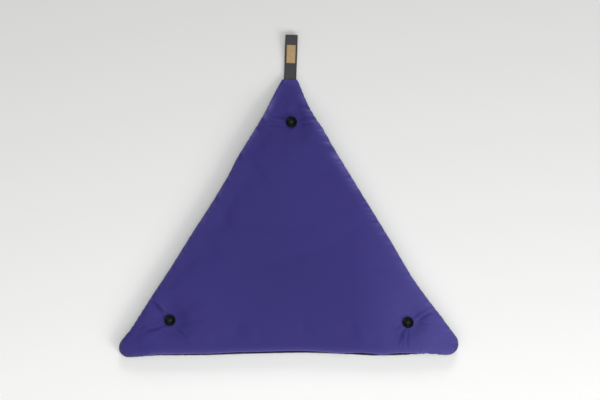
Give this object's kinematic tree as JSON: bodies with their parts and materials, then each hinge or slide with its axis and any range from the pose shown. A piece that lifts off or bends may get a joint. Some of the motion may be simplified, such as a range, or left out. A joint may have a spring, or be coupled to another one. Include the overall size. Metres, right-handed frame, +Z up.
{
  "type": "triangular seat cushion",
  "caption": "Flat triangular seat cushion in smooth cloth, tufted with a button near each corner, with a folded webbing loop at its top corner to hang it by.",
  "frame": {"origin": "on the surface the cushion lies on, under the middle of its whole length and width, loop included", "axes": "+Z up, out of the cushion's face; +X along its longest side, to the right seen from above; +Y towards the top corner and the hanging loop"},
  "size_m": [0.5488, 0.5236, 0.0313],
  "materials": {
    "cloth": "smooth violet-blue woven cloth with a faint sheen",
    "button": "black plastic, half matt",
    "webbing": "dark grey webbing, ribbed along its length",
    "leather": "tan leather, matt, bare"
  },
  "bodies": {
    "root": {"cushion": "cloth", "button-top": "button", "button-left": "button", "button-right": "button", "hanging-loop": "webbing", "label": "leather"}
  },
  "joints": []
}
